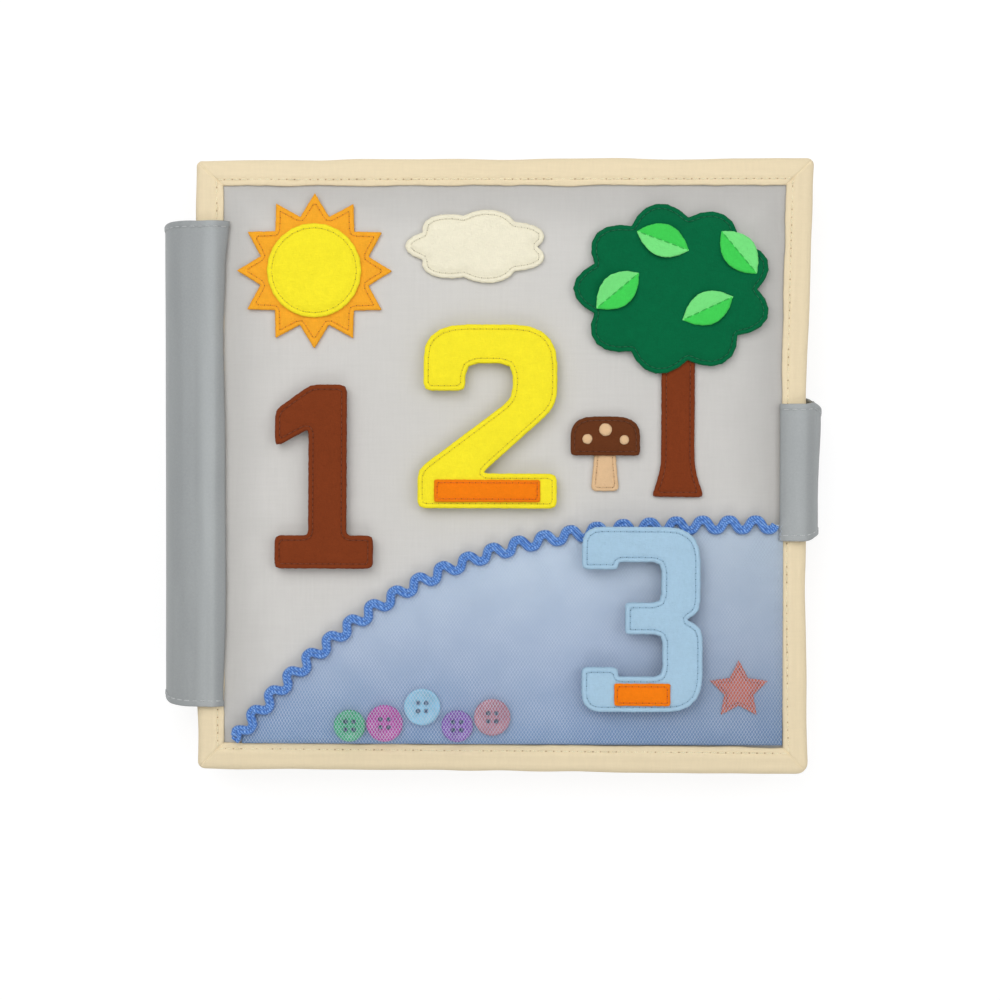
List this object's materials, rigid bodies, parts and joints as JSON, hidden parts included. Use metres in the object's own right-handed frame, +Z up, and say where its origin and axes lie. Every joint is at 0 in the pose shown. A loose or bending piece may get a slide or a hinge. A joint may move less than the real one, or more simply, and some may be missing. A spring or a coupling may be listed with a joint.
{
  "type": "quiet book",
  "caption": "Square padded cloth book with bound leaves, a soft spine, a closing strap, a mesh pocket of loose buttons and lift-off felt numerals.",
  "frame": {"origin": "centre of the closed book's box, on the plane that it lies on", "axes": "+Z up out of the front cover, +Y towards the top of the page, spine towards -X"},
  "size_m": [0.2379, 0.22, 0.0356],
  "materials": {
    "binding": "cotton tape, matte",
    "page_cotton": "plain cotton, matte",
    "sleeve_cotton": "smooth cotton, slight sheen",
    "batting": "soft batting",
    "hook_tape": "hook and loop tape",
    "felt_brown": "felt",
    "felt_dark_brown": "felt",
    "felt_yellow": "felt",
    "felt_amber": "felt",
    "felt_orange": "felt",
    "felt_pale_blue": "felt",
    "felt_dark_green": "felt",
    "felt_leaf_green": "felt",
    "felt_cream": "felt",
    "felt_white": "felt",
    "felt_salmon": "felt",
    "pocket_cotton": "plain cotton",
    "mesh": "fine see-through mesh",
    "trim": "woven wavy trim",
    "button_green": "satin plastic",
    "button_magenta": "satin plastic",
    "button_blue": "satin plastic",
    "button_purple": "satin plastic",
    "button_pink": "satin plastic"
  },
  "bodies": {
    "front_cover": {"front_cover_binding": "binding", "front_cover_outer_panel": "page_cotton", "front_cover_inner_panel": "page_cotton", "front_cover_padding": "batting", "spine_front_flap": "sleeve_cotton", "strap_front_tab": "sleeve_cotton", "pocket_backing": "pocket_cotton", "pocket_mesh": "mesh", "pocket_trim": "trim", "sun_rays": "felt_amber", "sun_disc": "felt_yellow", "cloud": "felt_white", "tree_trunk": "felt_dark_brown", "tree_crown": "felt_dark_green", "tree_leaf_1": "felt_leaf_green", "tree_leaf_2": "felt_leaf_green", "tree_leaf_3": "felt_leaf_green", "tree_leaf_4": "felt_leaf_green", "mushroom_stalk": "felt_cream", "mushroom_cap": "felt_brown", "starfish": "felt_salmon", "numeral_one_loop_patch": "hook_tape", "numeral_two_loop_patch": "hook_tape", "numeral_three_loop_patch": "hook_tape"},
    "leaf_2": {"leaf_2_binding": "binding", "leaf_2_front_panel": "page_cotton", "leaf_2_back_panel": "page_cotton", "leaf_2_padding": "batting", "spine_front_half": "sleeve_cotton", "leaf_2_hinge_tape": "page_cotton"},
    "leaf_3": {"leaf_3_binding": "binding", "leaf_3_front_panel": "page_cotton", "leaf_3_back_panel": "page_cotton", "leaf_3_padding": "batting", "spine_back_half": "sleeve_cotton", "leaf_3_hinge_tape": "page_cotton"},
    "back_cover": {"back_cover_binding": "binding", "back_cover_outer_panel": "page_cotton", "back_cover_inner_panel": "page_cotton", "back_cover_padding": "batting", "spine_back_flap": "sleeve_cotton", "strap_loop_patch": "hook_tape"},
    "strap": {"strap_tail": "sleeve_cotton", "strap_hook_patch": "hook_tape"},
    "numeral_one": {"numeral_one": "felt_brown", "numeral_one_backing": "felt_brown", "numeral_one_hook_patch": "hook_tape"},
    "numeral_two": {"numeral_two": "felt_yellow", "numeral_two_backing": "felt_yellow", "numeral_two_hook_patch": "hook_tape", "numeral_two_band": "felt_orange"},
    "numeral_three": {"numeral_three": "felt_pale_blue", "numeral_three_backing": "felt_pale_blue", "numeral_three_hook_patch": "hook_tape", "numeral_three_band": "felt_orange"},
    "button_green": {"button_green": "button_green"},
    "button_magenta": {"button_magenta": "button_magenta"},
    "button_blue": {"button_blue": "button_blue"},
    "button_purple": {"button_purple": "button_purple"},
    "button_pink": {"button_pink": "button_pink"}
  },
  "joints": [
    {"name": "front_cover_turn", "type": "hinge", "parent": "leaf_2", "child": "front_cover", "pos_m": [-0.10625, 0, 0.0275], "axis": [0, -1, 0], "range_deg": [0, 175]},
    {"name": "middle_turn", "type": "hinge", "parent": "leaf_2", "child": "leaf_3", "pos_m": [-0.11895, 0, 0.01375], "axis": [0, -1, 0], "range_deg": [-175, 0]},
    {"name": "back_cover_turn", "type": "hinge", "parent": "leaf_3", "child": "back_cover", "pos_m": [-0.10625, 0, 0], "axis": [0, 1, 0], "range_deg": [0, 175]},
    {"name": "strap_open", "type": "hinge", "parent": "front_cover", "child": "strap", "pos_m": [0.11375, 0, 0.0275], "axis": [0, -1, 0], "range_deg": [0, 150], "deforming": ["strap_tail", "strap_hook_patch"]},
    {"name": "numeral_one_lift", "type": "slide", "parent": "front_cover", "child": "numeral_one", "axis": [0, 0, -1], "range_m": [-0.04, 0]},
    {"name": "numeral_two_lift", "type": "slide", "parent": "front_cover", "child": "numeral_two", "axis": [0, 0, -1], "range_m": [-0.04, 0]},
    {"name": "numeral_three_lift", "type": "slide", "parent": "front_cover", "child": "numeral_three", "axis": [0, 0, -1], "range_m": [-0.04, 0]},
    {"name": "button_green_slide", "type": "slide", "parent": "front_cover", "child": "button_green", "axis": [0, 1, 0], "range_m": [0, 0.015]},
    {"name": "button_magenta_slide", "type": "slide", "parent": "front_cover", "child": "button_magenta", "axis": [0, 1, 0], "range_m": [0, 0.015]},
    {"name": "button_blue_slide", "type": "slide", "parent": "front_cover", "child": "button_blue", "axis": [0, 1, 0], "range_m": [0, 0.015]},
    {"name": "button_purple_slide", "type": "slide", "parent": "front_cover", "child": "button_purple", "axis": [0, 1, 0], "range_m": [0, 0.015]},
    {"name": "button_pink_slide", "type": "slide", "parent": "front_cover", "child": "button_pink", "axis": [0, 1, 0], "range_m": [0, 0.015]}
  ]
}
